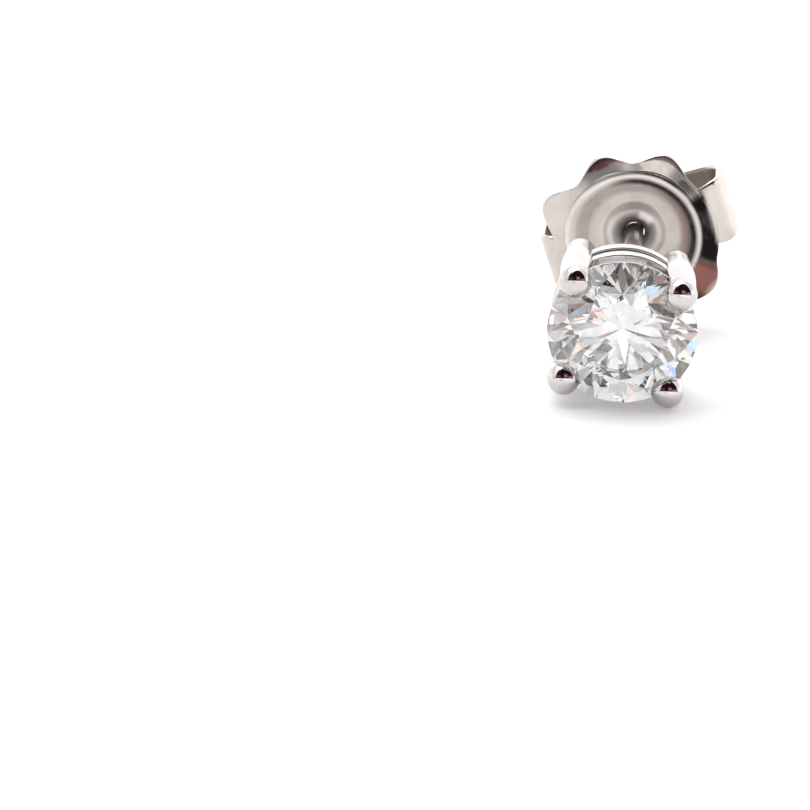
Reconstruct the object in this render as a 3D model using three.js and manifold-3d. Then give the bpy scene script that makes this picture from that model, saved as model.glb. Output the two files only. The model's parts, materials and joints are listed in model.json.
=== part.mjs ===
// A stud earring that lies on a flat surface, in millimetres, +Z up.
// A round brilliant stone sits in a four-prong basket with two rails, which carries a straight post, and a dished,
// scalloped friction back with two scrolled wings grips the post at its notch.
// Each piece is made in the earring's own frame: the post runs along +Y, away from the stone, and the middle of the
// stone's girdle is at y = 0. The whole is then laid down so that the stone's edge and two of the back's lobes touch
// z = 0.
import * as THREE from "three";
import { mergeVertices } from "three/addons/utils/BufferGeometryUtils.js";
import Module from "manifold-3d";

const wasm = await Module();
wasm.setup();

// The stone, as a jeweller states a round brilliant: its width, and shares and angles for the cut.
const stoneDiameter = 5.2;
const tableShare = 0.57; // of the width, across the table's corners
const starShare = 0.5; // how far each star facet reaches from the table to the girdle
const lowerHalfShare = 0.77; // how far each lower half facet reaches from the girdle to the point
const crownAngle = THREE.MathUtils.degToRad(34.5);
const pavilionAngle = THREE.MathUtils.degToRad(40.75);
const girdleThickness = 0.16;
const stoneTurn = THREE.MathUtils.degToRad(8); // of the facets about the post, against the prongs
const mainFacets = 8;
const girdleStepsPerFacet = 6; // between a main facet's point and the next break in the girdle
const seatGap = 0.03; // between the stone and the metal that holds it

// The basket.
const prongCount = 4;
const prongTipRadius = 0.56; // the domed end of the prong's round wire
const prongWireRadius = 0.53;
const prongFootRadius = 0.46;
const prongInset = 0.03; // of the prong's middle, inside the girdle
const prongLean = 0.27; // how much nearer the post's axis a prong is at its foot
const domeRise = 0.42; // the middle of the dome, in front of the girdle
const railWireRadius = 0.24;
const railInset = 0.1; // of a rail's outside, inside the girdle
const frontRailAt = 1.2; // behind the girdle
const railSpacing = 0.7;
const culetClearance = 0.28; // between the stone's point and the bridge
const bridgeThickness = 0.42;
const bridgeWidth = 0.62;
const padRadius = 0.8;
const padThickness = 0.3; // of the round pad that the post stands on, behind the bridge

// The post.
const postRadius = 0.35;
const postLength = 10;
const postTipRound = 0.22;
const notchFromTip = 2.05;
const notchLength = 0.5;
const notchDepth = 0.06;

// The friction back, from one sheet. Its depths are from the flange, in the middle of the sheet.
const sheet = 0.22;
const holeRadius = 0.45;
const beadRadius = 0.76; // the raised ring round the hole
const beadHeight = 0.34;
const floorInner = 1.06; // the flat ring of the dish starts here
const floorOuter = 1.68;
const floorDepth = 0.6;
const rimRadius = 2.44; // the crest of the dish's rim
const rimHeight = 0.3;
const rimFoot = 2.56; // where the rim's outside meets the flange
const lobeRadius = 3.52;
const notchRadius = 3.08;
const outlineShift = 0.2; // the lobed outline is punched a little off the hole
const shiftTurn = THREE.MathUtils.degToRad(-62);
const fluteDepth = 0.14; // how far a lobe's edge bends back
const beadFillet = 0.17;
const floorFillet = 0.3;
const rimFillet = 0.14;
const wingTurn = THREE.MathUtils.degToRad(23); // of the wings' line about the post
const wingTaper = 0.88; // the width of the wing's inner end, as a share of its root's
const wingDepth = 2.2; // to the wing's rear leg
const rootOverlap = 0.06; // how far a wing's root starts outside the rim's crest, and lies behind the flange
const outerTurn = 0.72;
const innerTurn = 0.42;
const curlDepth = 0.98; // to the wing's inner end
const curlLength = 0.85;
const gripGap = 0.03; // between a wing and the post
// A wing's reach is from the post's axis to the middle of the sheet at its outer turn, and its shift is across it.
const rightWingReach = 3.54;
const rightWingWidth = 2.45;
const rightWingShift = 0.05;
const leftWingReach = 3.3;
const leftWingWidth = 2.15;
const leftWingShift = 0.2;
const wings = [
  { turn: wingTurn, reach: rightWingReach, width: rightWingWidth, shift: rightWingShift },
  { turn: wingTurn + Math.PI, reach: leftWingReach, width: leftWingWidth, shift: leftWingShift },
];
// The notches between the flange's lobes, above and below the wings' line, as angles from it. Outside the first and
// the last, the wings take the lobes' places.
const notchesAbove = [29, 75, 121, 158].map(THREE.MathUtils.degToRad);
const notchesBelow = [29, 73, 104, 152].map(THREE.MathUtils.degToRad);

const stoneRadius = stoneDiameter / 2;
const gripDepth = (wingDepth + curlDepth) / 2; // the middle of the wing's flank along the post

// Vertices that share a place are merged, and the faces are turned outwards.
function solidOf(geometry) {
  const bare = new THREE.BufferGeometry().setAttribute("position", geometry.getAttribute("position"));
  if (geometry.index) bare.setIndex(geometry.index);
  const merged = mergeVertices(bare, 1e-5);
  const place = (corner) => new THREE.Vector3().fromBufferAttribute(merged.attributes.position, corner);
  const triVerts = new Uint32Array(merged.index.array);
  let volume = 0;
  for (let i = 0; i < triVerts.length; i += 3) {
    const [a, b, c] = [place(triVerts[i]), place(triVerts[i + 1]), place(triVerts[i + 2])];
    volume += a.dot(b.cross(c));
  }
  if (volume < 0) {
    for (let i = 0; i < triVerts.length; i += 3) {
      [triVerts[i + 1], triVerts[i + 2]] = [triVerts[i + 2], triVerts[i + 1]];
    }
  }
  const vertProperties = merged.attributes.position.array;
  return new wasm.Manifold(new wasm.Mesh({ numProp: 3, vertProperties, triVerts }));
}

function geometryOf(solid) {
  const { vertProperties, triVerts } = solid.getMesh();
  const geometry = new THREE.BufferGeometry();
  geometry.setAttribute("position", new THREE.BufferAttribute(vertProperties, 3));
  geometry.setIndex(new THREE.BufferAttribute(triVerts, 1));
  return geometry;
}

function join(solids) {
  return solids.reduce((whole, solid) => whole.add(solid));
}

// A point at a distance from the post's axis, in a direction about it, at a place along it.
function around(radius, angle, y) {
  return new THREE.Vector3(radius * Math.cos(angle), y, radius * Math.sin(angle));
}

// Flat polygons, each a list of points, as one geometry.
function polygons(faces) {
  const corners = faces.flatMap((face) => face.slice(2).flatMap((point, i) => [face[0], face[i + 1], point]));
  return new THREE.BufferGeometry().setFromPoints(corners);
}

// Rings of points joined one after another, with flat ends or as a closed loop.
function loft(rings, isLoop = false) {
  const faces = [];
  const spans = isLoop ? rings.length : rings.length - 1;
  for (let i = 0; i < spans; i++) {
    const [ring, next] = [rings[i], rings[(i + 1) % rings.length]];
    ring.forEach((point, j) => {
      const k = (j + 1) % ring.length;
      faces.push([point, ring[k], next[k], next[j]]);
    });
  }
  if (!isLoop) faces.push([...rings[0]].reverse(), rings[rings.length - 1]);
  return polygons(faces);
}

// The line through corners of { x, y, fillet }, with an arc of that radius at each corner that has one.
function filleted(corners, arcSteps) {
  const at = (corner) => new THREE.Vector2(corner.x, corner.y);
  return corners.flatMap((corner, i) => {
    const here = at(corner);
    if (!corner.fillet) return [here];
    const before = at(corners[i - 1]).sub(here).normalize();
    const after = at(corners[i + 1]).sub(here).normalize();
    const half = Math.acos(THREE.MathUtils.clamp(before.dot(after), -1, 1)) / 2;
    const turn = Math.sign(after.cross(before)) * (Math.PI - 2 * half);
    const middle = before.clone().add(after).setLength(corner.fillet / Math.sin(half)).add(here);
    const start = before.multiplyScalar(corner.fillet / Math.tan(half)).add(here).sub(middle);
    return Array.from({ length: arcSteps + 1 }, (_, step) =>
      start.clone().rotateAround(new THREE.Vector2(), (turn * step) / arcSteps).add(middle),
    );
  });
}

// Unit normals of a line of points, to the left of its run.
function normals(line) {
  return line.map((_, i) => {
    const run = line[Math.min(i + 1, line.length - 1)].clone().sub(line[Math.max(i - 1, 0)]).normalize();
    return new THREE.Vector2(-run.y, run.x);
  });
}

// A round brilliant. The same cut, grown on every side, makes its seat in the metal.
function brilliant(grow) {
  const radius = stoneRadius + grow;
  const halfGirdle = girdleThickness / 2 + grow;
  const step = Math.PI / mainFacets;
  const tableRadius = tableShare * radius;
  const tableEdge = tableRadius * Math.cos(step);
  const starRadius = tableEdge + starShare * (radius - tableEdge);
  const lowerRadius = radius * (1 - lowerHalfShare);
  // The height over the girdle's edge of a main facet at a distance from the axis, away from its middle by an angle.
  const rise = (r, off, slope) => (radius - r * Math.cos(off)) * Math.tan(slope);
  const crownHeight = rise(tableRadius, 0, crownAngle);
  const starHeight = rise(starRadius, step, crownAngle);
  const lowerHeight = rise(lowerRadius, step, pavilionAngle);
  const culet = around(0, 0, halfGirdle + rise(0, 0, pavilionAngle));

  const faces = [];
  const table = [];
  for (let facet = 0; facet < mainFacets; facet++) {
    const angle = stoneTurn + 2 * step * facet;
    const tableCorner = (side) => around(tableRadius, angle + 2 * step * side, -halfGirdle - crownHeight);
    const starPoint = (side) => around(starRadius, angle + step * side, -halfGirdle - starHeight);
    const lowerPoint = (side) => around(lowerRadius, angle + step * side, halfGirdle + lowerHeight);
    const crownTip = around(radius, angle, -halfGirdle);
    const pavilionTip = around(radius, angle, halfGirdle);
    table.push(tableCorner(0));
    faces.push([tableCorner(0), starPoint(-1), crownTip, starPoint(1)]);
    faces.push([tableCorner(0), starPoint(1), tableCorner(1)]);
    faces.push([culet, lowerPoint(1), pavilionTip, lowerPoint(-1)]);
    for (const side of [-1, 1]) {
      // The half facets beside a main facet cut the round girdle in two shallow waves.
      const breakPoint = (y) => around(radius, angle + step * side, y);
      const wave = (inner, tip, end) => {
        const plane = new THREE.Plane().setFromCoplanarPoints(inner, tip, end);
        return Array.from({ length: girdleStepsPerFacet + 1 }, (_, i) => {
          const level = around(radius, angle + (step * side * i) / girdleStepsPerFacet, 0);
          return level.setY(-(plane.normal.x * level.x + plane.normal.z * level.z + plane.constant) / plane.normal.y);
        });
      };
      const upper = wave(starPoint(side), crownTip, breakPoint(-halfGirdle));
      const lower = wave(lowerPoint(side), pavilionTip, breakPoint(halfGirdle));
      const turned = (face, flip) => (side * flip > 0 ? face : face.reverse());
      faces.push(turned([starPoint(side), ...upper], -1));
      faces.push(turned([lowerPoint(side), ...lower], 1));
      for (let i = 0; i < girdleStepsPerFacet; i++) {
        faces.push(turned([upper[i], lower[i], lower[i + 1], upper[i + 1]], 1));
      }
    }
  }
  faces.push(table.reverse());
  faces.forEach((face) => turnOutwards(face));
  return { solid: solidOf(polygons(faces)), culetAt: culet.y };
}

// The stone is convex about a point on its axis, so each face is turned to look away from it.
function turnOutwards(face) {
  const [a, b, c] = face;
  const facing = b.clone().sub(a).cross(c.clone().sub(a));
  if (facing.dot(a) < 0) face.reverse();
}

// One prong: a tapering round wire from the foot to a domed end over the stone's edge.
function prong(angle, footAt) {
  const sides = 18;
  const domeSteps = 6;
  const tip = around(stoneRadius - prongInset, angle, -domeRise);
  const foot = around(stoneRadius - prongInset - prongLean, angle, footAt);
  const run = tip.clone().sub(foot).normalize();
  const across = around(1, angle + Math.PI / 2, 0);
  const outward = across.clone().cross(run);
  const ring = (middle, radius) =>
    Array.from({ length: sides }, (_, i) => {
      const turn = (2 * Math.PI * i) / sides;
      const spoke = across.clone().multiplyScalar(Math.cos(turn)).addScaledVector(outward, Math.sin(turn));
      return middle.clone().addScaledVector(spoke, radius);
    });
  const shoulder = tip.clone().addScaledVector(run, -prongTipRadius / 2);
  const rings = [ring(foot, prongFootRadius), ring(shoulder, prongWireRadius), ring(tip, prongTipRadius)];
  for (let step = 1; step <= domeSteps; step++) {
    const rise = (step / (domeSteps + 0.5)) * (Math.PI / 2);
    const middle = tip.clone().addScaledVector(run, prongTipRadius * Math.sin(rise));
    rings.push(ring(middle, prongTipRadius * Math.cos(rise)));
  }
  return solidOf(loft(rings));
}

// One rail: a ring of round wire between the prongs.
function rail(at) {
  const wireSides = 10;
  const ringSides = 40;
  const middle = new THREE.Vector2(stoneRadius - railInset - railWireRadius, at);
  const section = Array.from({ length: wireSides + 1 }, (_, i) => {
    const turn = (2 * Math.PI * (i % wireSides)) / wireSides;
    return new THREE.Vector2(railWireRadius * Math.cos(turn), railWireRadius * Math.sin(turn)).add(middle);
  });
  return solidOf(new THREE.LatheGeometry(section, ringSides));
}

// The flat bar between two opposite prongs' feet.
function bridgeBar(angle, from) {
  const length = 2 * (stoneRadius - prongInset - prongLean);
  const bar = new THREE.BoxGeometry(length, bridgeThickness, bridgeWidth);
  bar.translate(0, from + bridgeThickness / 2, 0);
  bar.rotateY(-angle);
  return solidOf(bar);
}

// The post, from inside the bridge to its rounded tip, with the notch that the back clicks into.
function post(from, footAt) {
  const sides = 24;
  const tipAt = footAt + postLength;
  const notchAt = tipAt - notchFromTip;
  const tipSteps = 3;
  const profile = [
    new THREE.Vector2(0, from),
    new THREE.Vector2(padRadius, from),
    new THREE.Vector2(padRadius, footAt - padThickness / 3),
    new THREE.Vector2(padRadius - padThickness / 3, footAt),
    new THREE.Vector2(postRadius, footAt),
    new THREE.Vector2(postRadius, notchAt - notchLength / 2),
    new THREE.Vector2(postRadius - notchDepth, notchAt - notchLength / 4),
    new THREE.Vector2(postRadius - notchDepth, notchAt + notchLength / 4),
    new THREE.Vector2(postRadius, notchAt + notchLength / 2),
  ];
  for (let step = 0; step <= tipSteps; step++) {
    const turn = (step / tipSteps) * (Math.PI / 2);
    const radius = postRadius - postTipRound * (1 - Math.cos(turn));
    profile.push(new THREE.Vector2(radius, tipAt - postTipRound * (1 - Math.sin(turn))));
  }
  profile.push(new THREE.Vector2(0, tipAt));
  return solidOf(new THREE.LatheGeometry(profile, sides));
}

// How far the flange reaches into a lobe in a direction about the axis, from 0 at a notch to 1 at a lobe's middle.
function lobeShare(angle) {
  const fromWing = Math.acos(Math.cos(angle - wingTurn));
  const notches = Math.sin(angle - wingTurn) > 0 ? notchesAbove : notchesBelow;
  const next = notches.findIndex((notch) => notch > fromWing);
  if (next < 1) return 0;
  const [from, to] = [notches[next - 1], notches[next]];
  return (1 - Math.cos((2 * Math.PI * (fromWing - from)) / (to - from))) / 2;
}

// How far the flange's edge lies from the axis.
function edgeRadius(angle) {
  const shift = outlineShift * Math.cos(angle - shiftTurn);
  return THREE.MathUtils.lerp(notchRadius, lobeRadius, lobeShare(angle)) + shift;
}

// The dished plate: one section through the sheet, carried round the hole, with its flange scalloped and fluted.
function plate() {
  const sides = 72;
  const middle = filleted(
    [
      { x: holeRadius, y: floorDepth },
      { x: beadRadius, y: floorDepth - beadHeight, fillet: beadFillet },
      { x: floorInner, y: floorDepth, fillet: beadFillet },
      { x: floorOuter, y: floorDepth, fillet: floorFillet },
      { x: rimRadius, y: -rimHeight, fillet: rimFillet },
      { x: rimFoot, y: 0, fillet: rimFillet },
      { x: lobeRadius, y: 0 },
    ],
    2,
  );
  const out = normals(middle);
  const side = (sign) => middle.map((point, i) => point.clone().addScaledVector(out[i], (sign * sheet) / 2));
  const section = [...side(-1), ...side(1).reverse()];
  const rings = Array.from({ length: sides }, (_, i) => {
    const angle = (2 * Math.PI * i) / sides;
    return section.map((point) => {
      const share = Math.max(0, (point.x - rimFoot) / (lobeRadius - rimFoot));
      const radius = share ? THREE.MathUtils.lerp(rimFoot, edgeRadius(angle), share) : point.x;
      return around(radius, angle, point.y + share * fluteDepth * lobeShare(angle));
    });
  });
  return solidOf(loft(rings, true));
}

// One wing: the sheet runs out from the flange, turns back, returns to the post and curls in beside it.
function wing({ turn, reach, width, shift }) {
  const flank = postRadius + gripGap + sheet / 2;
  const path = filleted(
    [
      { x: rimRadius + rootOverlap, y: rootOverlap },
      { x: reach, y: rootOverlap, fillet: outerTurn },
      { x: reach, y: wingDepth, fillet: outerTurn },
      { x: flank, y: wingDepth, fillet: innerTurn },
      { x: flank, y: curlDepth, fillet: innerTurn },
      { x: flank + curlLength, y: curlDepth },
    ],
    6,
  );
  const out = normals(path);
  const along = new THREE.Vector3(Math.cos(turn), 0, Math.sin(turn));
  const across = new THREE.Vector3(-Math.sin(turn), 0, Math.cos(turn));
  const rings = path.map((point, i) => {
    const half = (width * THREE.MathUtils.lerp(1, wingTaper, i / (path.length - 1))) / 2;
    const corner = (depth, side) => {
      const { x, y } = point.clone().addScaledVector(out[i], (depth * sheet) / 2);
      return along.clone().multiplyScalar(x).addScaledVector(across, side * half + shift).setY(y);
    };
    return [corner(-1, 1), corner(1, 1), corner(1, -1), corner(-1, -1)];
  });
  return solidOf(loft(rings));
}

function mesh(name, solid, colour, roughness, metalness) {
  const material = new THREE.MeshStandardMaterial({ color: colour, roughness, metalness });
  const made = new THREE.Mesh(geometryOf(solid), material);
  made.name = name;
  return made;
}

// The turn that lays the earring on a level surface: about its own axis, until its back stands on a lobe on each side,
// and then about X, until its head and its back are equally low.
function layingTurn(head, rear) {
  const points = (piece) => {
    const position = piece.geometry.getAttribute("position");
    return Array.from({ length: position.count }, (_, i) =>
      new THREE.Vector3().fromBufferAttribute(position, i).add(piece.position),
    );
  };
  const [headPoints, rearPoints] = [head.flatMap(points), points(rear)];
  const turn = new THREE.Euler();
  for (let round = 0; round < 12; round++) {
    const lowest = (set) => {
      const turned = set.map((point) => point.clone().applyEuler(turn));
      return turned.reduce((low, point) => (point.z < low.z ? point : low));
    };
    const isRight = (point) => point.clone().applyEuler(turn).x > 0;
    const right = lowest(rearPoints.filter(isRight));
    const left = lowest(rearPoints.filter((point) => !isRight(point)));
    turn.y += Math.atan2(right.z - left.z, right.x - left.x);
    const [headLow, rearLow] = [lowest(headPoints), lowest(rearPoints)];
    turn.x -= Math.atan2(rearLow.z - headLow.z, rearLow.y - headLow.y);
  }
  return turn;
}

const { solid: stoneSolid, culetAt } = brilliant(0);
const bridgeAt = culetAt + culetClearance;
const footAt = bridgeAt + bridgeThickness;
const postFoot = footAt + padThickness;
const prongAngles = Array.from({ length: prongCount }, (_, i) => (Math.PI / prongCount) * (2 * i + 1));
const metal = join([
  ...prongAngles.map((angle) => prong(angle, footAt)),
  rail(frontRailAt),
  rail(frontRailAt + railSpacing),
  ...prongAngles.slice(0, prongCount / 2).map((angle) => bridgeBar(angle, bridgeAt)),
  post(bridgeAt + bridgeThickness / 2, postFoot),
]);

const stone = mesh("brilliant_stone", stoneSolid, 0xf4f6f8, 0.02, 0);
const setting = mesh("setting_with_post", metal.subtract(brilliant(seatGap).solid), 0xe6e2de, 0.12, 1);
const back = mesh("friction_back", join([plate(), ...wings.map(wing)]), 0xcfc8c2, 0.3, 1);
back.position.y = postFoot + postLength - notchFromTip - gripDepth;

const laid = new THREE.Group();
laid.add(stone, setting, back);
laid.rotation.copy(layingTurn([stone, setting], back));

// The origin is under the middle of the earring, on the surface that it lies on.
const earring = new THREE.Group();
earring.add(laid);
earring.updateMatrixWorld(true);
const box = new THREE.Box3().setFromObject(earring, true);
const middle = box.getCenter(new THREE.Vector3());
laid.position.set(-middle.x, -middle.y, -box.min.z);

export default earring;
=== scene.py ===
import json
import math

import bmesh
import bpy
from mathutils import Matrix, Vector


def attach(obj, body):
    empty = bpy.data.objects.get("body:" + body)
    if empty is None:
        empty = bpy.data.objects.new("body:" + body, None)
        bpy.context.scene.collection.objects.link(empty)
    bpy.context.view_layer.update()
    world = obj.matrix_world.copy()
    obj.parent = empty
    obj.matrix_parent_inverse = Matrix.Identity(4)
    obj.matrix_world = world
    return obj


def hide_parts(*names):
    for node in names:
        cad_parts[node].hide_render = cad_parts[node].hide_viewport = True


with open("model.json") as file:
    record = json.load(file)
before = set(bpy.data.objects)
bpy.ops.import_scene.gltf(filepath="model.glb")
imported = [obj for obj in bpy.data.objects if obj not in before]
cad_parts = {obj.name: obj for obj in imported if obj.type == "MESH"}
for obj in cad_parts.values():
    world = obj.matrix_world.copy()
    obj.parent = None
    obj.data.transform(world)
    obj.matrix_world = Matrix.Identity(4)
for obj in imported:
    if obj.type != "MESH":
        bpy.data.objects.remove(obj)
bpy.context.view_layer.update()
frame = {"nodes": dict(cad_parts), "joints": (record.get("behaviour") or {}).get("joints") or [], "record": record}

MM = 0.001

# The stone and the basket.
STONE_RADIUS = 2.6
GIRDLE_THICKNESS = 0.16
SEAT_GAP = 0.03
CROWN_ANGLE = math.radians(34.5)
PAVILION_ANGLE = math.radians(40.75)
TABLE_SHARE = 0.57
PRONG_COUNT = 4
PRONG_TIP_RADIUS = 0.575
PRONG_WIRE_RADIUS = 0.56
PRONG_FOOT_RADIUS = 0.5
PRONG_SWELL = 0.07
NECK_DEPTH = 0.018
NECK_WIDTH = 0.06
PRONG_INSET = 0.03
PRONG_LEAN = 0.22
FOOT_SHIFT = -0.12
DOME_RISE = 0.42
RAIL_RADIUS = 2.26
RAIL_HALF_WIDTH = 0.24
RAIL_HALF_HEIGHT = 0.21
RAIL_SOFTNESS = 0.07
RAILS_AT = (1.2, 1.9)
BRIDGE_FROM = 2.6
BRIDGE_THICKNESS = 0.42
BRIDGE_WIDTH = 0.62
BRIDGE_SOFTNESS = 0.09
PAD_RADIUS = 0.8
PAD_THICKNESS = 0.3

# The post, and where the record's mount for the ear is along it.
EAR_AT = 6.3
POST_RADIUS = 0.35
POST_LENGTH = 10
POST_TIP_ROUND = 0.22
NOTCH_FROM_TIP = 2.05
NOTCH_LENGTH = 0.5
NOTCH_DEPTH = 0.06

# The friction back, from one sheet. Its depths are from the flange, in the middle of the sheet.
BACK_AT = 9.6803
SHEET = 0.22
HOLE_RADIUS = 0.375
BEAD_RADIUS = 0.76
BEAD_HEIGHT = 0.34
FLOOR_INNER = 1.16
FLOOR_OUTER = 1.68
FLOOR_DEPTH = 0.6
RIM_RADIUS = 2.44
RIM_HEIGHT = 0.3
RIM_FOOT = 2.56
NOTCH_RADIUS = 3.08
OUTLINE_SHIFT = 0.2
SHIFT_TURN = math.radians(-62)
FLUTE_CURVE = 1.1
BEAD_FILLET = 0.28
FLOOR_FILLET = 0.45
RIM_FILLET = 0.19
WING_TURN = math.radians(23)
WING_DEPTH = 2.2
OUTER_TURN = 0.72
INNER_TURN = 0.42
CURL_DEPTH = 0.98
CURL_LENGTH = 0.85
GRIP_GAP = 0.03
# The notches between the lobes, as angles from the wings' line, and how far each lobe reaches and bends back.
NOTCHES_ABOVE = [math.radians(a) for a in (29, 75, 121, 168)]
NOTCHES_BELOW = [math.radians(a) for a in (29, 73, 104, 152)]
LOBES_ABOVE = ((3.46, 0.27), (3.44, 0.42), (3.7, 0.24))
LOBES_BELOW = ((3.5, 0.2), (3.52, 0.14), (3.52, 0.14))
LOBE_REACH = 3.52
WINGS = (
    {"turn": WING_TURN, "reach": 3.54, "width": 2.45, "shift": 0.05},
    {"turn": WING_TURN + math.pi, "reach": 3.38, "width": 2.15, "shift": 0.28},
)

# Where the back's painted shade, painted reflections and paler rough patches start and end: the flange outside the
# rim, and the front of its sheet.
FLANGE_STARTS = (2.46, 2.55)
FRONT_ENDS = (0.02, 0.1)

# The camera, about the middle of the girdle, in the earring's own frame.
CAMERA_DISTANCE = 120
CAMERA_TURN = math.radians(3.46)
CAMERA_RISE = math.radians(23.45)
CAMERA_ROLL = math.radians(6.07)
CAMERA_LOOKS_RIGHT = -7.514
CAMERA_LOOKS_UP = -2.511
SENSOR = 36
FOCAL_PIXELS = 3469
IMAGE_PIXELS = 810
# The room's dark part, as angles: its start over the horizon, its height, its half width and its turn.
ROOM_FROM = math.radians(18)
ROOM_HEIGHT = math.radians(82)
ROOM_WIDTH = math.radians(66)
ROOM_TURN = math.radians(13)
ROOM_STRENGTH = 1.65
# The lamp, in metres and watts, and the light that the floor adds.
LAMP_AT = (-0.1, 0.14, 0.42)
LAMP_SIZE = (0.4, 0.3)
LAMP_POWER = 0.9
FLOOR_GLOW = 0.35
FLOOR_GLOW_IN_STONE = 0.95


def earring_frame():
    """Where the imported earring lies: from millimetres in its own frame to metres in the row."""
    seats = {m["name"]: Vector(m["pos_m"]) for m in frame["record"]["mounts"]}
    along = Vector(frame["joints"][0]["axis"]).normalized()
    middle = seats["ear_post"] - along * EAR_AT * MM
    off_axis = seats["ear_front_seat"] - middle
    across = (off_axis - along * off_axis.dot(along)).normalized()
    turn = Matrix((across, along, across.cross(along))).transposed().to_4x4()
    return Matrix.Translation(middle) @ turn @ Matrix.Scale(MM, 4)


TO_ROW = earring_frame()


def around(radius, angle, y):
    return Vector((radius * math.cos(angle), y, radius * math.sin(angle)))


def lerp(a, b, share):
    return a + (b - a) * share


def smooth(low, high, value):
    """0 below low, 1 above high, and an even rise between them."""
    share = min(1, max(0, (value - low) / (high - low)))
    return share * share * (3 - 2 * share)


def lofted(rings, is_loop=False):
    """A closed skin over rings of points, with flat ends or as a closed loop."""
    skin = bmesh.new()
    rows = [[skin.verts.new(point) for point in ring] for ring in rings]
    following = rows[1:] + rows[:1] if is_loop else rows[1:]
    for row, after in zip(rows, following):
        for i in range(len(row)):
            j = (i + 1) % len(row)
            skin.faces.new((row[i], row[j], after[j], after[i]))
    if not is_loop:
        skin.faces.new(rows[0][::-1])
        skin.faces.new(rows[-1])
    bmesh.ops.recalc_face_normals(skin, faces=skin.faces)
    return skin


def turned(profile, sides):
    """A solid of revolution about the post, from (radius, y) points that start and end near the axis."""
    return lofted([[around(r, 2 * math.pi * i / sides, y) for i in range(sides)] for r, y in profile])


def as_object(name, skins, wear_and_painted_light, crease=32):
    """One object of all the skins, smooth but for its creases, with its wear and painted light as marks, laid
    where the earring lies.
    """
    mesh = bpy.data.meshes.new(name)
    whole = bmesh.new()
    for skin in skins:
        part = bpy.data.meshes.new(name + "_part")
        skin.to_mesh(part)
        skin.free()
        whole.from_mesh(part)
        bpy.data.meshes.remove(part)
    for edge in whole.edges:
        edge.smooth = len(edge.link_faces) == 2 and edge.calc_face_angle(0) < math.radians(crease)
    for face in whole.faces:
        face.smooth = True
    whole.verts.ensure_lookup_table()
    marks = {what: [share(vert.co) for vert in whole.verts] for what, share in wear_and_painted_light.items()}
    whole.transform(TO_ROW)
    whole.to_mesh(mesh)
    whole.free()
    for what, shares in marks.items():
        mesh.attributes.new(what, "FLOAT", "POINT").data.foreach_set("value", shares)
    made = bpy.data.objects.new(name, mesh)
    bpy.context.scene.collection.objects.link(made)
    return made


def filleted(corners, arc_steps, straight_steps=1):
    """The line through (x, y, fillet) corners, with an arc at each corner that has a fillet."""
    line = []
    for i, (x, y, fillet) in enumerate(corners):
        here = Vector((x, y))
        if not fillet:
            run = [here]
        else:
            before = (Vector(corners[i - 1][:2]) - here).normalized()
            after = (Vector(corners[i + 1][:2]) - here).normalized()
            half = math.acos(max(-1, min(1, before.dot(after)))) / 2
            middle = here + (before + after).normalized() * (fillet / math.sin(half))
            start = here + before * (fillet / math.tan(half)) - middle
            turn = math.copysign(math.pi - 2 * half, after.x * before.y - after.y * before.x)
            run = []
            for step in range(arc_steps + 1):
                spin = Matrix.Rotation(turn * step / arc_steps, 2)
                run.append(middle + spin @ start)
        if line:
            gap = line[-1]
            line += [gap.lerp(run[0], k / straight_steps) for k in range(1, straight_steps)]
        line += run
    return line


def normals(line):
    found = []
    for i in range(len(line)):
        run = (line[min(i + 1, len(line) - 1)] - line[max(i - 1, 0)]).normalized()
        found.append(Vector((-run.y, run.x)))
    return found


def stone_cutter():
    """The room that the stone and its gap take out of the prongs."""
    grown = STONE_RADIUS + SEAT_GAP
    half = GIRDLE_THICKNESS / 2 + SEAT_GAP
    table = TABLE_SHARE * grown
    top = -half - (grown - table) * math.tan(CROWN_ANGLE)
    near_axis = 0.01
    profile = (
        (near_axis, top),
        (table, top),
        (grown, -half),
        (grown, half),
        (near_axis, half + grown * math.tan(PAVILION_ANGLE)),
    )
    return turned(profile, 96)


def cut_away(skin, cutter):
    """A skin less a cutter, both closed."""
    pair = []
    for name, shape in (("whole", skin), ("cutter", cutter)):
        mesh = bpy.data.meshes.new(name)
        shape.to_mesh(mesh)
        shape.free()
        item = bpy.data.objects.new(name, mesh)
        bpy.context.scene.collection.objects.link(item)
        pair.append(item)
    whole, tool = pair
    cut = whole.modifiers.new("cut", "BOOLEAN")
    cut.operation = "DIFFERENCE"
    cut.solver = "MANIFOLD"
    cut.object = tool
    graph = bpy.context.evaluated_depsgraph_get()
    result = bpy.data.meshes.new_from_object(whole.evaluated_get(graph))
    left = bmesh.new()
    left.from_mesh(result)
    for item in pair:
        bpy.data.objects.remove(item)
    bpy.data.meshes.remove(result)
    return left


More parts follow.
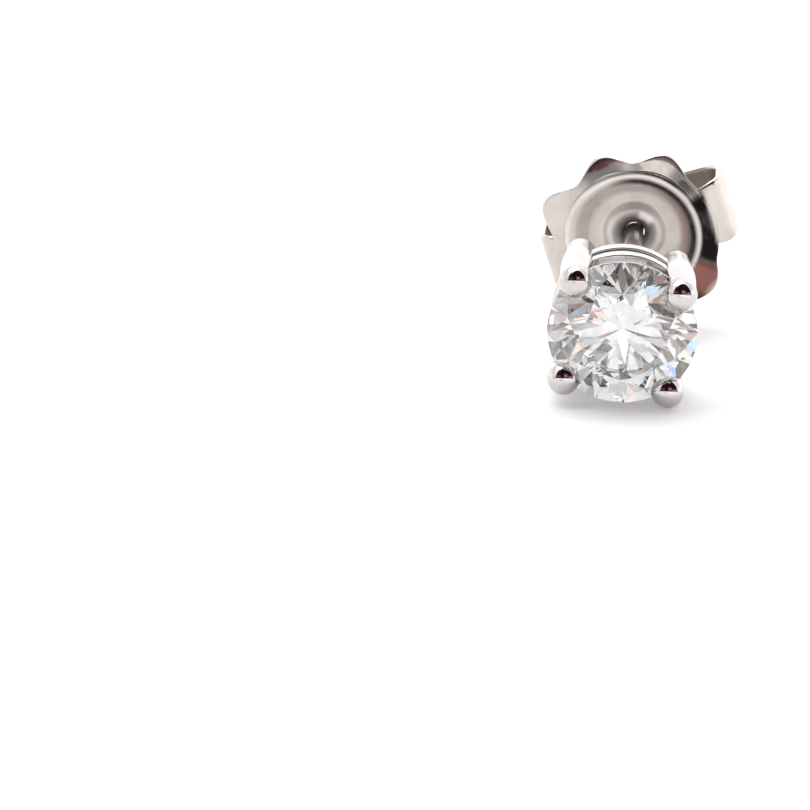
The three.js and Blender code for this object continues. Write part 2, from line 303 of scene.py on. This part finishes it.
def prong(angle):
    """A tapering round wire that swells to a ball over the stone's edge."""
    sides = 72
    foot_at = BRIDGE_FROM + BRIDGE_THICKNESS
    tip = around(STONE_RADIUS - PRONG_INSET, angle, -DOME_RISE)
    foot = around(STONE_RADIUS - PRONG_INSET - PRONG_LEAN, angle, foot_at) + Vector((FOOT_SHIFT, 0, 0))
    run = (tip - foot).normalized()
    across = around(1, angle + math.pi / 2, 0)
    outward = across.cross(run)
    length = (tip - foot).length

    def ring(reach, radius):
        middle = foot + run * reach
        turns = [2 * math.pi * i / sides for i in range(sides)]
        return [middle + (across * math.cos(t) + outward * math.sin(t)) * radius for t in turns]

    rings = []
    foot_round = 0.12
    for step in range(7):
        rise = step / 6 * math.pi / 2
        inner = PRONG_FOOT_RADIUS - foot_round * (1 - math.sin(rise)) - 0.001
        rings.append(ring(foot_round * (1 - math.cos(rise)), inner))
    wire_steps = 60
    ball_from = length - PRONG_TIP_RADIUS * 0.9
    for step in range(1, wire_steps + 1):
        reach = lerp(foot_round, length, step / wire_steps)
        wire = lerp(PRONG_FOOT_RADIUS, PRONG_WIRE_RADIUS, reach / length)
        wire += PRONG_SWELL * math.sin(math.pi * reach / length) ** 2
        swell = smooth(ball_from, length, reach)
        neck = NECK_DEPTH * math.exp(-(((reach - length) / NECK_WIDTH + 2.2) ** 2))
        rings.append(ring(reach, lerp(wire, PRONG_TIP_RADIUS, swell) - neck))
    dome_steps = 22
    for step in range(1, dome_steps + 1):
        rise = step / (dome_steps + 0.3) * math.pi / 2
        rings.append(ring(length + PRONG_TIP_RADIUS * math.sin(rise), PRONG_TIP_RADIUS * math.cos(rise)))
    return cut_away(lofted(rings), stone_cutter())


def soft_box(half_width, half_height, softness):
    """A rectangle with rounded corners, as (x, y) points."""
    steps = 6
    section = []
    for corner, (right, top) in enumerate(((1, 1), (-1, 1), (-1, -1), (1, -1))):
        for step in range(steps + 1):
            turn = math.pi / 2 * (corner + step / steps)
            x = right * (half_width - softness) + softness * math.cos(turn)
            section.append((x, top * (half_height - softness) + softness * math.sin(turn)))
    return section


def rail(at):
    """A ring of square wire with soft edges between the prongs."""
    sides = 160
    section = soft_box(RAIL_HALF_WIDTH, RAIL_HALF_HEIGHT, RAIL_SOFTNESS)
    aside = Vector((FOOT_SHIFT * at / (BRIDGE_FROM + BRIDGE_THICKNESS), 0, 0))
    rings = []
    for i in range(sides):
        angle = 2 * math.pi * i / sides
        rings.append([around(RAIL_RADIUS + x, angle, at + y) + aside for x, y in section])
    return lofted(rings, is_loop=True)


def bridge_bar(angle):
    """The flat bar between two opposite prongs' feet, with softened edges."""
    half_length = STONE_RADIUS - PRONG_INSET - PRONG_LEAN
    middle = BRIDGE_FROM + BRIDGE_THICKNESS / 2
    along = around(1, angle, 0)
    across = around(1, angle + math.pi / 2, 0)
    section = soft_box(BRIDGE_WIDTH / 2, BRIDGE_THICKNESS / 2, BRIDGE_SOFTNESS)
    rings = []
    for step in range(13):
        reach = lerp(-half_length, half_length, step / 12)
        rings.append([along * reach + across * x + Vector((FOOT_SHIFT, middle + y, 0)) for x, y in section])
    return lofted(rings)


def post():
    """The pad behind the bridge, a small solder fillet, and the post with its notch and rounded tip."""
    sides = 64
    foot = BRIDGE_FROM + BRIDGE_THICKNESS + PAD_THICKNESS
    tip = foot + POST_LENGTH
    notch = tip - NOTCH_FROM_TIP
    fillet = 0.16
    pad_soft = 0.1
    profile = [(0.002, BRIDGE_FROM + BRIDGE_THICKNESS / 2), (PAD_RADIUS, BRIDGE_FROM + BRIDGE_THICKNESS / 2)]
    for step in range(7):
        turn = step / 6 * math.pi / 2
        profile.append((PAD_RADIUS - pad_soft * (1 - math.cos(turn)), foot - pad_soft * (1 - math.sin(turn))))
    for step in range(9):
        turn = step / 8 * math.pi / 2
        profile.append((POST_RADIUS + fillet * (1 - math.sin(turn)), foot + fillet * (1 - math.cos(turn))))
    for step in range(1, 30):
        profile.append((POST_RADIUS, lerp(foot + fillet, notch - NOTCH_LENGTH / 2, step / 30)))
    for step in range(25):
        share = step / 24
        dip = NOTCH_DEPTH * (1 - math.cos(2 * math.pi * share)) / 2
        profile.append((POST_RADIUS - dip, notch + NOTCH_LENGTH * (share - 0.5)))
    for step in range(13):
        turn = step / 12 * math.pi / 2
        radius = POST_RADIUS - POST_TIP_ROUND * (1 - math.cos(turn))
        profile.append((radius, tip - POST_TIP_ROUND * (1 - math.sin(turn))))
    profile.append((0.002, tip))
    return turned(profile, sides)


def cast_skin(place):
    """Where the metal keeps its cast skin, because the polisher's wheel reaches it less."""
    return smooth(0.5, 1.8, place.y) * (1 - smooth(3.3, 3.6, place.y))


def post_hole_shade(place):
    """Painted shade on the post where it runs inside the back's hole."""
    return 0.4 * window(9.2, 10.6, 0.25, place.y)


def cast_basket():
    angles = [math.pi / PRONG_COUNT * (2 * i + 1) for i in range(PRONG_COUNT)]
    skins = [prong(angle) for angle in angles]
    skins += [rail(at) for at in RAILS_AT]
    skins += [bridge_bar(angle) for angle in angles[: PRONG_COUNT // 2]]
    # The post's mark is painted shade inside the back's hole.
    return as_object("cast_basket", skins + [post()], {"cast": cast_skin, "post_hole_shade": post_hole_shade})


def lobe(angle):
    """How far the flange's edge lies from the axis in a direction, and how far it bends back there."""
    from_wing = math.acos(math.cos(angle - WING_TURN))
    is_above = math.sin(angle - WING_TURN) > 0
    notches = NOTCHES_ABOVE if is_above else NOTCHES_BELOW
    edge = NOTCH_RADIUS + OUTLINE_SHIFT * math.cos(angle - SHIFT_TURN)
    for low, high, shape in zip(notches, notches[1:], LOBES_ABOVE if is_above else LOBES_BELOW):
        if low < from_wing < high:
            inside = (1 - math.cos(2 * math.pi * (from_wing - low) / (high - low))) / 2
            return edge + (shape[0] - NOTCH_RADIUS) * inside, shape[1] * inside
    return edge, 0


def sheet_section(line):
    """The outline of the sheet about its middle line, with both ends rounded."""
    out = normals(line)
    half = SHEET / 2
    steps = 6

    def end(at, facing, side):
        turns = [math.pi * k / steps for k in range(1, steps)]
        return [at + (facing * math.sin(t) + side * math.cos(t)) * half for t in turns]

    first = [point - n * half for point, n in zip(line, out)]
    second = [point + n * half for point, n in zip(line, out)]
    last_run = Vector((out[-1].y, -out[-1].x))
    first_run = Vector((out[0].y, -out[0].x))
    return first + end(line[-1], last_run, -out[-1]) + second[::-1] + end(line[0], -first_run, out[0])


def plate():
    """The dished, scalloped plate, from one section carried round the hole."""
    sides = 300
    line = filleted(
        (
            (HOLE_RADIUS + SHEET / 2, FLOOR_DEPTH - 0.06, 0),
            (BEAD_RADIUS, FLOOR_DEPTH - BEAD_HEIGHT, BEAD_FILLET),
            (FLOOR_INNER, FLOOR_DEPTH, BEAD_FILLET),
            (FLOOR_OUTER, FLOOR_DEPTH, FLOOR_FILLET),
            (RIM_RADIUS, -RIM_HEIGHT, RIM_FILLET),
            (RIM_FOOT, 0, RIM_FILLET),
            (LOBE_REACH - SHEET / 2, 0, 0),
        ),
        8,
        4,
    )
    section = sheet_section(line)
    rings = []
    for i in range(sides):
        angle = 2 * math.pi * i / sides
        edge, flute = lobe(angle)
        ring = []
        for x, y in section:
            share = max(0, (x - RIM_FOOT) / (LOBE_REACH - RIM_FOOT))
            radius = lerp(RIM_FOOT, edge, share) if share else x
            ring.append(around(radius, angle, y + flute * share ** FLUTE_CURVE))
        rings.append(ring)
    return lofted(rings, is_loop=True)


def strip_section(half):
    """The section of a flat strip of the sheet with rounded edges, as (across, depth) points."""
    half_sheet = SHEET / 2
    columns, edge_steps = 18, 6
    section = []
    for side in (1, -1):
        reach = half * side
        section += [(lerp(-reach, reach, k / columns), half_sheet * side) for k in range(columns + 1)]
        for k in range(1, edge_steps):
            bend = math.pi * k / edge_steps
            section.append((side * (half + half_sheet * math.sin(bend)), side * half_sheet * math.cos(bend)))
    return section


def wing(turn, reach, width, shift):
    """One wing: the sheet runs out from the flange, turns back, returns to the post and curls in there."""
    flank = POST_RADIUS + GRIP_GAP + SHEET / 2
    path = filleted(
        (
            (RIM_RADIUS + 0.1, 0.02, 0),
            (reach, 0.02, OUTER_TURN),
            (reach, WING_DEPTH, OUTER_TURN),
            (flank, WING_DEPTH, INNER_TURN),
            (flank, CURL_DEPTH, INNER_TURN),
            (flank + CURL_LENGTH, CURL_DEPTH, 0),
        ),
        14,
        8,
    )
    out = normals(path)
    along = around(1, turn, 0)
    across = around(1, turn + math.pi / 2, 0)
    rings = []
    for i, point in enumerate(path):
        share = i / (len(path) - 1)
        flare = lerp(0.8, 1, smooth(0, 0.16, share))
        half = width * lerp(flare, 0.88, smooth(0.3, 1, share)) / 2 - SHEET / 2
        ring = []
        for aside, depth in strip_section(half):
            x, y = point + out[i] * depth
            ring.append(along * x + across * (aside + shift) + Vector((0, y, 0)))
        rings.append(ring)
    return lofted(rings)


def spot(place):
    """A place on the back as its distance from the hole's middle, its angle in degrees, and its depth."""
    return math.hypot(place.x, place.z), math.degrees(math.atan2(place.z, place.x)), place.y - BACK_AT


def window(low, high, edge, value):
    return smooth(low - edge, low + edge, value) * (1 - smooth(high - edge, high + edge, value))


def painted_black_shade(place):
    """Black painted shade and dark reflections on the flange's right and one upper lobe and in the dish's wall,
    and painted shade at the hole.
    """
    radius, angle, depth = spot(place)
    flange = smooth(*FLANGE_STARTS, radius) * (1 - smooth(*FRONT_ENDS, depth))
    along = place.x * math.cos(WING_TURN) + place.z * math.sin(WING_TURN)
    right = 0.985 * window(-14, 44, 6, angle) * (1 - smooth(2.86, 3.04, along))
    edge = 0.62 * window(44, 69, 5, angle)
    lower = 0.9 * window(-43, -35, 4, angle)
    upper = 0.5 * window(102, 140, 8, angle)
    wall = 0.92 * window(2.06, 2.34, 0.07, radius) * window(-30, 112, 18, angle)
    hub = 0.5 * (1 - smooth(0.7, 0.98, radius)) * (1 - painted_highlight(place))
    return max(flange * max(right, edge, lower, upper), wall, hub)


def painted_red_shade(place):
    """Reddish-brown painted shade and reflection on the flange below the black, and in the dish beside its wall.
    """
    radius, angle, depth = spot(place)
    flange = smooth(*FLANGE_STARTS, radius) * (1 - smooth(*FRONT_ENDS, depth)) * window(-42, -12, 4, angle)
    wall = 0.5 * window(1.8, 2.12, 0.09, radius) * window(-20, 72, 20, angle)
    return max(flange, wall)


def satin_and_painted_light(place):
    """Where the polisher's wheel doesn't reach, so the sheet is rougher, and where it is painted paler as painted
    light: the dish, one upper lobe, and the rolled wings.
    """
    radius, angle, depth = spot(place)
    dish = (1 - smooth(2.46, 2.56, radius)) * (1 - smooth(0.7, 0.76, depth))
    upper = 0.9 * smooth(2.46, 2.56, radius) * window(98, 146, 10, angle) * (1 - smooth(*FRONT_ENDS, depth))
    wings = 0.5 * smooth(2.1, 2.4, radius) * smooth(0.3, 0.4, depth)
    return max(dish, upper, wings)


def painted_highlight(place):
    """Painted highlights: the rim's crest at the upper left and a patch of the lip at the hole, painted bright."""
    radius, angle, depth = spot(place)
    lip = window(0.6, 0.92, 0.08, radius) * window(42, 84, 10, angle) * (1 - smooth(0.3, 0.36, depth))
    crest = window(2.34, 2.52, 0.06, radius) * window(60, 150, 20, angle) * (1 - smooth(-0.16, -0.1, depth))
    return max(lip, 0.8 * crest)


def pressed_back():
    skins = [plate()] + [wing(**shape) for shape in WINGS]
    for skin in skins:
        skin.transform(Matrix.Translation((0, BACK_AT, 0)))
    # The back's marks: black and reddish painted shade and reflections, rougher patches painted paler, and painted
    # highlights.
    wear_and_painted_light = {"painted_black_shade": painted_black_shade, "painted_red_shade": painted_red_shade, "satin_and_painted_light": satin_and_painted_light, "painted_highlight": painted_highlight}
    return as_object("pressed_back", skins, wear_and_painted_light)


class Nodes:
    """Short hands for a node tree."""

    def __init__(self, tree):
        self.tree = tree
        tree.nodes.clear()

    def add(self, kind, **values):
        node = self.tree.nodes.new(kind)
        for name, value in values.items():
            setattr(node, name, value)
        return node

    def link(self, source, target):
        self.tree.links.new(source, target)

    def math(self, operation, first, second=None, third=None):
        node = self.add("ShaderNodeMath", operation=operation)
        for socket, value in zip(node.inputs, (first, second, third)):
            if value is None:
                continue
            if isinstance(value, (int, float)):
                socket.default_value = value
            else:
                self.link(value, socket)
        return node.outputs[0]

    def span(self, value, low, high, start=0, end=1):
        node = self.add("ShaderNodeMapRange")
        for name, number in (("From Min", low), ("From Max", high), ("To Min", start), ("To Max", end)):
            node.inputs[name].default_value = number
        self.link(value, node.inputs["Value"])
        return node.outputs["Result"]

    def noise(self, where, scale, detail=2, roughness=0.5):
        node = self.add("ShaderNodeTexNoise")
        for name, number in (("Scale", scale), ("Detail", detail), ("Roughness", roughness)):
            node.inputs[name].default_value = number
        self.link(where, node.inputs["Vector"])
        return node.outputs["Fac"]

    def ramp(self, value, stops):
        node = self.add("ShaderNodeValToRGB")
        ramp = node.color_ramp
        while len(ramp.elements) < len(stops):
            ramp.elements.new(1)
        for element, (place, colour) in zip(ramp.elements, stops):
            element.position = place
            element.color = (*colour, 1)
        self.link(value, node.inputs["Fac"])
        return node.outputs["Color"]

    def mix(self, share, first, second):
        node = self.add("ShaderNodeMix", data_type="RGBA")
        sockets = (node.inputs["Factor"], node.inputs[6], node.inputs[7])
        for socket, value in zip(sockets, (share, first, second)):
            if isinstance(value, tuple):
                socket.default_value = (*value, 1)
            elif isinstance(value, (int, float)):
                socket.default_value = value
            else:
                self.link(value, socket)
        return node.outputs[2]

    def mark(self, name):
        return self.add("ShaderNodeAttribute", attribute_name=name).outputs["Fac"]

    def bump(self, height, strength, distance):
        node = self.add("ShaderNodeBump")
        node.inputs["Strength"].default_value = strength
        node.inputs["Distance"].default_value = distance
        self.link(height, node.inputs["Height"])
        return node.outputs["Normal"]


def material(name):
    made = bpy.data.materials.new(name)
    made.use_nodes = True
    nodes = Nodes(made.node_tree)
    shader = nodes.add("ShaderNodeBsdfPrincipled")
    output = nodes.add("ShaderNodeOutputMaterial")
    nodes.link(shader.outputs["BSDF"], output.inputs["Surface"])
    where = nodes.add("ShaderNodeTexCoord").outputs["Object"]
    return made, nodes, shader, where


def polished_metal():
    """Rhodium-bright cast metal: near mirror on its balls, with pits, with its cast skin lower down, and with
    painted shade on the post inside the back's hole.
    """
    made, nodes, shader, where = material("polished_white_gold")
    cast = nodes.mark("cast")
    cloud = nodes.noise(where, 900, 3)
    tone = nodes.ramp(cloud, ((0.3, (0.53, 0.51, 0.497)), (0.7, (0.6, 0.586, 0.577))))
    # Painted shade on the post inside the back's hole.
    hole_shade = nodes.math("MULTIPLY", nodes.mark("post_hole_shade"), nodes.span(cloud, 0.3, 0.7, 0.7, 0.95))
    nodes.link(nodes.mix(hole_shade, tone, (0.07, 0.05, 0.05)), shader.inputs["Base Color"])
    gloss = nodes.span(cloud, 0.3, 0.7, 0.02, 0.07)
    nodes.link(nodes.math("MULTIPLY_ADD", cast, 0.14, gloss), shader.inputs["Roughness"])
    shader.inputs["Metallic"].default_value = 1
    cells = nodes.add("ShaderNodeTexVoronoi")
    cells.inputs["Scale"].default_value = 1700
    nodes.link(where, cells.inputs["Vector"])
    chosen = nodes.span(nodes.noise(cells.outputs["Position"], 5000, 0), 0.5, 0.52)
    pits = nodes.math("MULTIPLY", nodes.span(cells.outputs["Distance"], 0.1, 0.05), chosen)
    marks = nodes.math("MULTIPLY", nodes.noise(where, 3300, 4, 0.6), nodes.span(cast, 0, 1, 0.08, 1))
    height = nodes.math("MULTIPLY_ADD", pits, -0.5, marks)
    nodes.link(nodes.bump(height, 0.35, 0.00003), shader.inputs["Normal"])
    return made


def pressed_metal():
    """Pressed sheet, burnished, with drawn marks, paler painted light on its rougher patches, painted highlights,
    and black and reddish painted shade and dark reflections.
    """
    made, nodes, shader, where = material("pressed_white_gold")
    cloud = nodes.noise(where, 700, 4, 0.6)
    tone = nodes.ramp(
        cloud,
        ((0.28, (0.45, 0.41, 0.38)), (0.5, (0.54, 0.5, 0.47)), (0.72, (0.6, 0.565, 0.53))),
    )
    patchy = nodes.span(nodes.noise(where, 1400, 3, 0.6), 0.3, 0.7, 0.94, 1.08)
    # Black and reddish painted shade and dark reflections.
    black = nodes.math("MINIMUM", nodes.math("MULTIPLY", nodes.mark("painted_black_shade"), patchy), 1)
    # Reddish-brown painted shade and reflection.
    red = nodes.math("MINIMUM", nodes.math("MULTIPLY", nodes.mark("painted_red_shade"), patchy), 0.92)
    dull_and_lit = nodes.mark("satin_and_painted_light")
    # The rougher patches are also painted paler: painted light.
    pale = nodes.math("MULTIPLY", dull_and_lit, nodes.span(cloud, 0.3, 0.7, 0.6, 1))
    tone = nodes.mix(pale, tone, (0.8, 0.755, 0.715))
    # Painted highlights on the rim's crest and the hole's lip.
    tone = nodes.mix(nodes.mark("painted_highlight"), tone, (0.98, 0.965, 0.945))
    tone = nodes.mix(red, tone, (0.23, 0.078, 0.068))
    nodes.link(nodes.mix(black, tone, (0.012, 0.01, 0.01)), shader.inputs["Base Color"])
    gloss = nodes.span(cloud, 0.25, 0.75, 0.24, 0.14)
    nodes.link(nodes.math("MULTIPLY_ADD", dull_and_lit, 0.34, gloss), shader.inputs["Roughness"])
    shader.inputs["Metallic"].default_value = 1
    marks = nodes.noise(where, 2600, 3, 0.6)
    nodes.link(nodes.bump(marks, 0.22, 0.00003), shader.inputs["Normal"])
    return made


def diamond():
    """Clear stone, polished on its facets and frosted round its girdle."""
    made, nodes, shader, where = material("diamond")
    facing = nodes.add("ShaderNodeVectorMath", operation="DOT_PRODUCT")
    facing.inputs[1].default_value = TO_ROW.to_3x3().col[1].normalized()
    nodes.link(nodes.add("ShaderNodeNewGeometry").outputs["True Normal"], facing.inputs[0])
    across = nodes.math("ABSOLUTE", facing.outputs["Value"])
    girdle = nodes.span(across, 0.2, 0.1)
    frost = nodes.noise(where, 9000, 2)
    rough = nodes.math("MULTIPLY", girdle, nodes.span(frost, 0.3, 0.7, 0.15, 0.3))
    nodes.link(rough, shader.inputs["Roughness"])
    shader.inputs["Base Color"].default_value = (1, 1, 1, 1)
    shader.inputs["IOR"].default_value = 2.417
    shader.inputs["Transmission Weight"].default_value = 1
    return made


def dress(thing, made):
    thing.data.materials.clear()
    thing.data.materials.append(made)


def floor():
    """A pale card, far wider than the view, and lit in even, pale patches where the stone shows it."""
    plane = bmesh.new()
    bmesh.ops.create_grid(plane, x_segments=8, y_segments=8, size=2)
    mesh = bpy.data.meshes.new("floor")
    plane.to_mesh(mesh)
    plane.free()
    made = bpy.data.objects.new("floor", mesh)
    bpy.context.scene.collection.objects.link(made)
    card, nodes, shader, where = material("pale_card")
    tone = nodes.ramp(nodes.noise(where, 40, 2), ((0.3, (0.93, 0.925, 0.92)), (0.7, (0.95, 0.948, 0.945))))
    in_stone = nodes.add("ShaderNodeLightPath").outputs["Is Transmission Ray"]
    patches = nodes.ramp(nodes.noise(where, 30, 1), ((0.36, (0.6, 0.6, 0.595)), (0.56, (0.97, 0.97, 0.965))))
    nodes.link(nodes.mix(in_stone, tone, (0, 0, 0)), shader.inputs["Base Color"])
    nodes.link(nodes.mix(in_stone, (1, 0.995, 0.99), patches), shader.inputs["Emission Color"])
    glow = nodes.span(in_stone, 0, 1, FLOOR_GLOW, FLOOR_GLOW_IN_STONE)
    nodes.link(glow, shader.inputs["Emission Strength"])
    shader.inputs["Roughness"].default_value = 0.8
    shader.inputs["Specular IOR Level"].default_value = 0.1
    dress(made, card)


def dark_part(nodes, where):
    """The dark part of the room, in front and overhead: 1 inside it and 0 outside."""
    split = nodes.add("ShaderNodeSeparateXYZ")
    nodes.link(where, split.inputs[0])
    x, y, z = split.outputs
    ahead = nodes.math("MULTIPLY", y, -1)
    rise = nodes.math("SUBTRACT", nodes.math("ARCTAN2", z, ahead), ROOM_FROM)
    aside = nodes.math("SUBTRACT", nodes.math("ARCSINE", x), ROOM_TURN)
    tall = nodes.math("POWER", nodes.math("DIVIDE", rise, ROOM_HEIGHT), 2)
    wide = nodes.math("POWER", nodes.math("DIVIDE", aside, ROOM_WIDTH), 2)
    dome = nodes.span(nodes.math("ADD", tall, wide), 1.08, 0.96)
    return nodes.math("MULTIPLY", nodes.span(rise, 0, 0.03), dome)


def mirrored_room(nodes, where, dark):
    """What the metal mirrors: white walls, and the dark part with its reddish patches."""
    walls = nodes.ramp(nodes.noise(where, 1.4, 1), ((0.35, (0.66, 0.65, 0.655)), (0.55, (1, 0.995, 0.99))))
    room = nodes.ramp(
        nodes.noise(where, 1.7, 1),
        (
            (0.4, (0.008, 0.004, 0.01)),
            (0.52, (0.03, 0.014, 0.02)),
            (0.6, (0.16, 0.055, 0.05)),
            (0.72, (0.3, 0.25, 0.3)),
        ),
    )
    return nodes.mix(dark, walls, room)


def refracted_room(nodes, where, dark):
    """What the stone shows of the room: pale and dim patches, and flashes of colour."""
    cloud = nodes.noise(where, 4.5, 0)
    pale = nodes.ramp(
        cloud,
        (
            (0.36, (0.13, 0.135, 0.13)),
            (0.47, (0.34, 0.34, 0.335)),
            (0.52, (0.5, 0.5, 0.49)),
            (0.58, (0.64, 0.64, 0.635)),
        ),
    )
    dim = nodes.ramp(
        cloud,
        (
            (0.38, (0.015, 0.018, 0.015)),
            (0.5, (0.08, 0.083, 0.078)),
            (0.57, (0.26, 0.15, 0.13)),
            (0.64, (0.3, 0.3, 0.29)),
        ),
    )
    fire = nodes.ramp(
        nodes.noise(where, 2.6, 0),
        (
            (0.3, (0.3, 0.42, 0.95)),
            (0.42, (0.6, 0.8, 1.0)),
            (0.58, (1.0, 0.82, 0.68)),
            (0.7, (0.75, 0.42, 0.34)),
        ),
    )
    flash = nodes.span(nodes.noise(where, 3.4, 0), 0.64, 0.68)
    return nodes.mix(flash, nodes.mix(dark, pale, dim), fire)


def studio():
    """A plain white ground for the camera, and the room for the metal and the stone."""
    world = bpy.data.worlds.new("studio")
    bpy.context.scene.world = world
    world.use_nodes = True
    nodes = Nodes(world.node_tree)
    where = nodes.add("ShaderNodeTexCoord").outputs["Generated"]
    paths = nodes.add("ShaderNodeLightPath").outputs
    dark = dark_part(nodes, where)
    mirrored = mirrored_room(nodes, where, dark)
    seen = nodes.mix(paths["Is Transmission Ray"], mirrored, refracted_room(nodes, where, dark))
    colour = nodes.mix(paths["Is Camera Ray"], seen, (1, 1, 1))
    background = nodes.add("ShaderNodeBackground")
    background.inputs["Strength"].default_value = ROOM_STRENGTH
    nodes.link(colour, background.inputs["Color"])
    output = nodes.add("ShaderNodeOutputWorld")
    nodes.link(background.outputs[0], output.inputs[0])


def lamp():
    """A soft box overhead and behind, that looks at the earring."""
    light = bpy.data.lights.new("soft_box", "AREA")
    light.shape = "RECTANGLE"
    light.size, light.size_y = LAMP_SIZE
    light.energy = LAMP_POWER
    box = bpy.data.objects.new("soft_box", light)
    box.location = LAMP_AT
    box.rotation_euler = (-box.location).to_track_quat("-Z", "Y").to_euler()
    bpy.context.scene.collection.objects.link(box)


def camera():
    """Nearly level with the earring, a long way off, as a close-up taken on a table."""
    back = Vector((
        math.sin(CAMERA_TURN) * math.cos(CAMERA_RISE),
        -math.cos(CAMERA_TURN) * math.cos(CAMERA_RISE),
        math.sin(CAMERA_RISE),
    ))
    right = (-back).cross(Vector((0, 0, 1))).normalized()
    up = right.cross(-back)
    level = right * math.cos(CAMERA_ROLL) + up * math.sin(CAMERA_ROLL)
    upright = up * math.cos(CAMERA_ROLL) - right * math.sin(CAMERA_ROLL)
    target = level * CAMERA_LOOKS_RIGHT + upright * CAMERA_LOOKS_UP
    turn = TO_ROW.to_3x3().normalized()
    lens = bpy.data.cameras.new("camera")
    lens.sensor_width = SENSOR
    lens.lens = FOCAL_PIXELS * SENSOR / IMAGE_PIXELS
    lens.clip_start = 0.005
    lens.clip_end = 10
    made = bpy.data.objects.new("camera", lens)
    axes = Matrix([turn @ axis for axis in (level, upright, back)]).transposed()
    made.matrix_world = Matrix.Translation(TO_ROW @ (target + back * CAMERA_DISTANCE)) @ axes.to_4x4()
    bpy.context.scene.collection.objects.link(made)
    bpy.context.scene.camera = made


def light_paths():
    """Enough bounces for the light inside the stone, and no mapped colour."""
    scene = bpy.context.scene
    scene.cycles.max_bounces = 24
    scene.cycles.transmission_bounces = 20
    scene.cycles.glossy_bounces = 8
    scene.cycles.caustics_reflective = False
    scene.cycles.caustics_refractive = False
    scene.view_settings.view_transform = "Standard"


camera()
studio()
lamp()
floor()
light_paths()

basket = cast_basket()
dress(basket, polished_metal())
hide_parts("setting_with_post")
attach(basket, "stud")

clutch = pressed_back()
dress(clutch, pressed_metal())
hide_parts("friction_back")
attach(clutch, "back")

dress(frame["nodes"]["brilliant_stone"], diamond())
